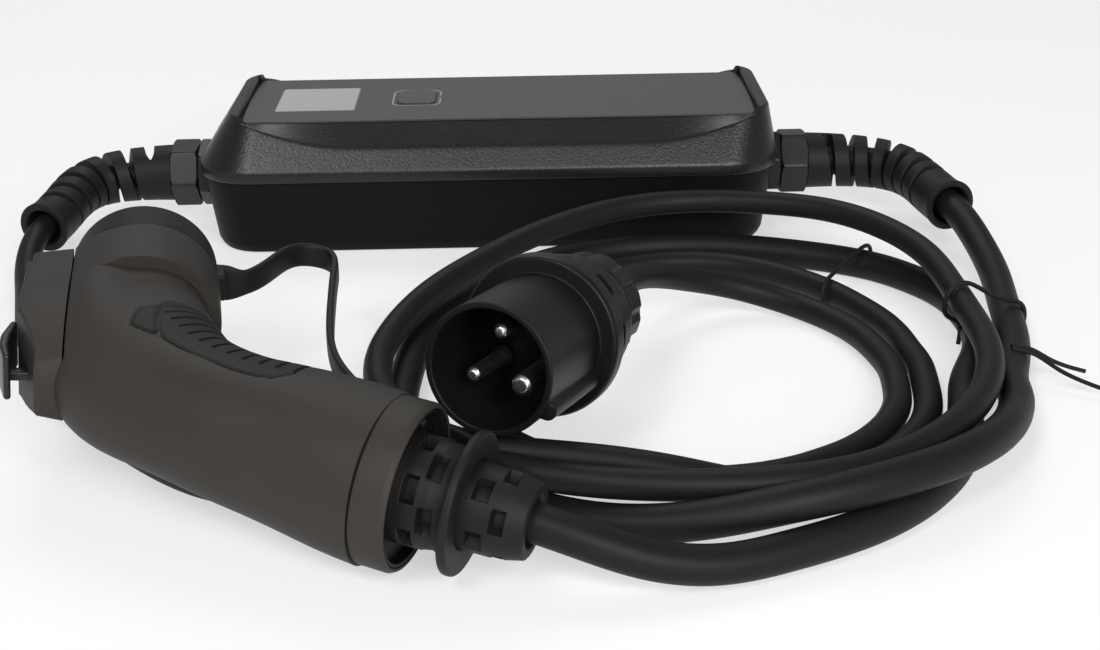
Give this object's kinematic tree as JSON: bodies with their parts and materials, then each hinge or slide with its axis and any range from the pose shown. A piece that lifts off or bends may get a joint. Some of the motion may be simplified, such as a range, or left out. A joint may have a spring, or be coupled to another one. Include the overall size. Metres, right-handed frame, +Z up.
{
  "type": "portable ev charger",
  "caption": "Portable car charger: a flat control box with a display window and a button, a coiled mains lead with a round-pin plug and a coiled vehicle lead with a pistol-grip connector.",
  "frame": {"origin": "bottom centre of the control box, on the table", "axes": "+X along the box towards the vehicle lead's gland, +Y away from the coiled cords, +Z up"},
  "size_m": [0.4212, 0.4038, 0.0718],
  "materials": {
    "case_black": "fine grain, satin",
    "panel_grey": "smooth satin film",
    "window_glass": "clear, slightly grey",
    "soft_black": "moulded rubber",
    "cord_black": "extruded sheath, satin",
    "pin_metal": "plated, polished",
    "contact_brass": "turned",
    "board_green": "varnished board",
    "block_dark": "moulded"
  },
  "bodies": {
    "charger": {"tub": "case_black", "cover": "case_black", "case_seal": "soft_black", "label_panel": "panel_grey", "display_window": "window_glass", "display_module": "block_dark", "display_board": "board_green", "display_board_screws": "pin_metal", "tact_switch": "block_dark", "circuit_board": "board_green", "relays": "block_dark", "leakage_sensor": "block_dark", "power_module": "block_dark", "terminal_blocks": "block_dark", "board_screws": "pin_metal", "case_screws": "pin_metal", "gland_body_left": "case_black", "gland_body_right": "case_black", "gland_washer_left": "soft_black", "gland_washer_right": "soft_black", "gland_nut_left": "case_black", "gland_nut_right": "case_black", "gland_locknut_left": "case_black", "gland_locknut_right": "case_black", "bend_protector_left": "soft_black", "bend_protector_right": "soft_black", "connector_shell": "case_black", "head_cover": "case_black", "latch_pin": "pin_metal", "grip_inlay": "soft_black", "nose_barrel": "case_black", "contact_insert": "case_black", "contact_sleeves": "contact_brass", "cap_strap": "soft_black", "grip_collar": "case_black", "collar_screws": "pin_metal", "strain_boot": "soft_black", "plug_shroud": "case_black", "plug_insert": "case_black", "plug_pins": "pin_metal", "earth_pin": "pin_metal", "plug_body": "case_black", "plug_gland_nut": "case_black", "plug_cable_lead": "cord_black", "plug_cable_coil": "cord_black", "plug_cable_tail": "cord_black", "vehicle_cable_lead": "cord_black", "vehicle_cable_coil": "cord_black", "vehicle_cable_tail": "cord_black", "tie_near": "cord_black", "tie_far": "cord_black"},
    "push_button": {"push_button": "panel_grey"},
    "latch_lever": {"latch_lever": "case_black"},
    "dust_cap": {"dust_cap": "soft_black"}
  },
  "joints": [
    {"name": "button_press", "type": "slide", "parent": "charger", "child": "push_button", "axis": [0, 0, -1], "range_m": [0, 0.0008], "stiffness_N_per_m": 300},
    {"name": "latch_turn", "type": "hinge", "parent": "charger", "child": "latch_lever", "pos_m": [-0.14741, -0.237, 0.04741], "axis": [0.1308, -0.0476, 0.9903], "range_deg": [0, 5], "stiffness_Nm_per_rad": 0.8},
    {"name": "cap_off", "type": "slide", "parent": "charger", "child": "dust_cap", "axis": [-0.1691, 0.9831, 0.0696], "range_m": [0, 0.03], "stiffness_N_per_m": 20, "deforming": ["cap_strap"]}
  ]
}
